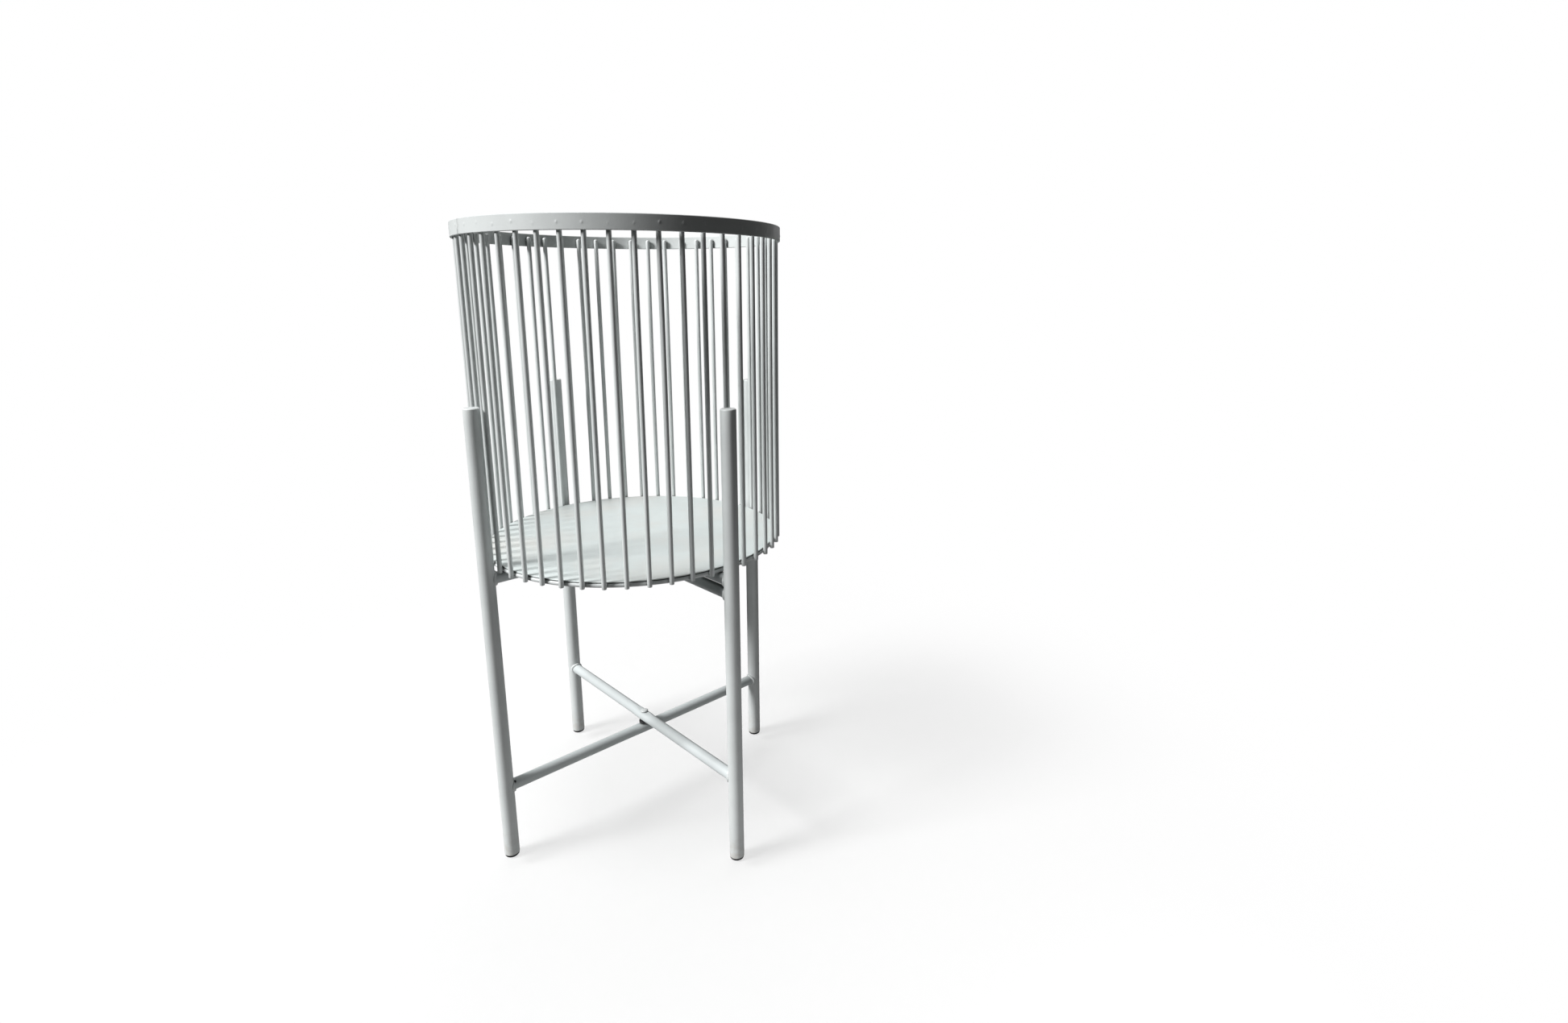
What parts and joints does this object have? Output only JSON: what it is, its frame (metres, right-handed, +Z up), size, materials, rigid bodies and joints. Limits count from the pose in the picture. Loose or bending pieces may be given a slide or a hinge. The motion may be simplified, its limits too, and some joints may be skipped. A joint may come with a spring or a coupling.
{
  "type": "plant stand",
  "caption": "Round steel-wire basket plant stand that lifts out of a low folding stand made of crossed tube frames.",
  "frame": {"origin": "on the floor, on the axis of the basket and of the fold", "axes": "+Z up; the legs stand on the diagonals between X and Y, and -Y is the front"},
  "size_m": [0.28, 0.28, 0.555],
  "materials": {
    "coated_tube": "satin pale cool-grey powder coat on steel tube",
    "coated_wire": "satin pale cool-grey powder coat on steel wire",
    "coated_sheet": "satin pale cool-grey powder coat on steel strip and sheet",
    "coated_fastener": "pale cool-grey coat on steel bolts and inserts, worn at the edges",
    "black_plastic": "moulded, matte"
  },
  "bodies": {
    "outer_frame": {"leg_back_right": "coated_tube", "leg_front_left": "coated_tube", "foot_back_right": "black_plastic", "foot_front_left": "black_plastic", "outer_lower_bar": "coated_tube", "outer_upper_bar": "coated_tube", "lower_pivot_bolt": "coated_fastener", "lower_pivot_insert": "coated_fastener", "lower_pivot_spacer": "black_plastic"},
    "inner_frame": {"leg_back_left": "coated_tube", "leg_front_right": "coated_tube", "foot_back_left": "black_plastic", "foot_front_right": "black_plastic", "inner_lower_bar": "coated_tube", "inner_upper_bar": "coated_tube", "rest_stub_back_left": "coated_tube", "rest_stub_front_right": "coated_tube", "upper_pivot_bolt": "coated_fastener", "upper_pivot_insert": "coated_fastener", "upper_pivot_spacer": "black_plastic"},
    "basket": {"rim_band": "coated_sheet", "floor_disc": "coated_sheet", "foot_ring_and_key_wires": "coated_wire", "wire_02": "coated_wire", "wire_03": "coated_wire", "wire_04": "coated_wire", "wire_06": "coated_wire", "wire_07": "coated_wire", "wire_08": "coated_wire", "wire_10": "coated_wire", "wire_11": "coated_wire", "wire_12": "coated_wire", "wire_14": "coated_wire", "wire_15": "coated_wire", "wire_16": "coated_wire", "wire_18": "coated_wire", "wire_19": "coated_wire", "wire_20": "coated_wire", "wire_22": "coated_wire", "wire_23": "coated_wire", "wire_24": "coated_wire", "wire_26": "coated_wire", "wire_27": "coated_wire", "wire_28": "coated_wire", "wire_30": "coated_wire", "wire_31": "coated_wire", "wire_32": "coated_wire", "wire_34": "coated_wire", "wire_35": "coated_wire", "wire_36": "coated_wire", "wire_38": "coated_wire", "wire_39": "coated_wire", "wire_40": "coated_wire", "wire_42": "coated_wire", "wire_43": "coated_wire", "wire_44": "coated_wire", "wire_46": "coated_wire", "wire_47": "coated_wire", "wire_48": "coated_wire"}
  },
  "joints": [
    {"name": "frame_fold", "type": "hinge", "parent": "outer_frame", "child": "inner_frame", "pos_m": [0, 0, 0.17], "axis": [0, 0, 1], "range_deg": [-84, 84]},
    {"name": "basket_lift", "type": "slide", "parent": "outer_frame", "child": "basket", "axis": [0, 0, 1], "range_m": [0, 0.16]}
  ]
}
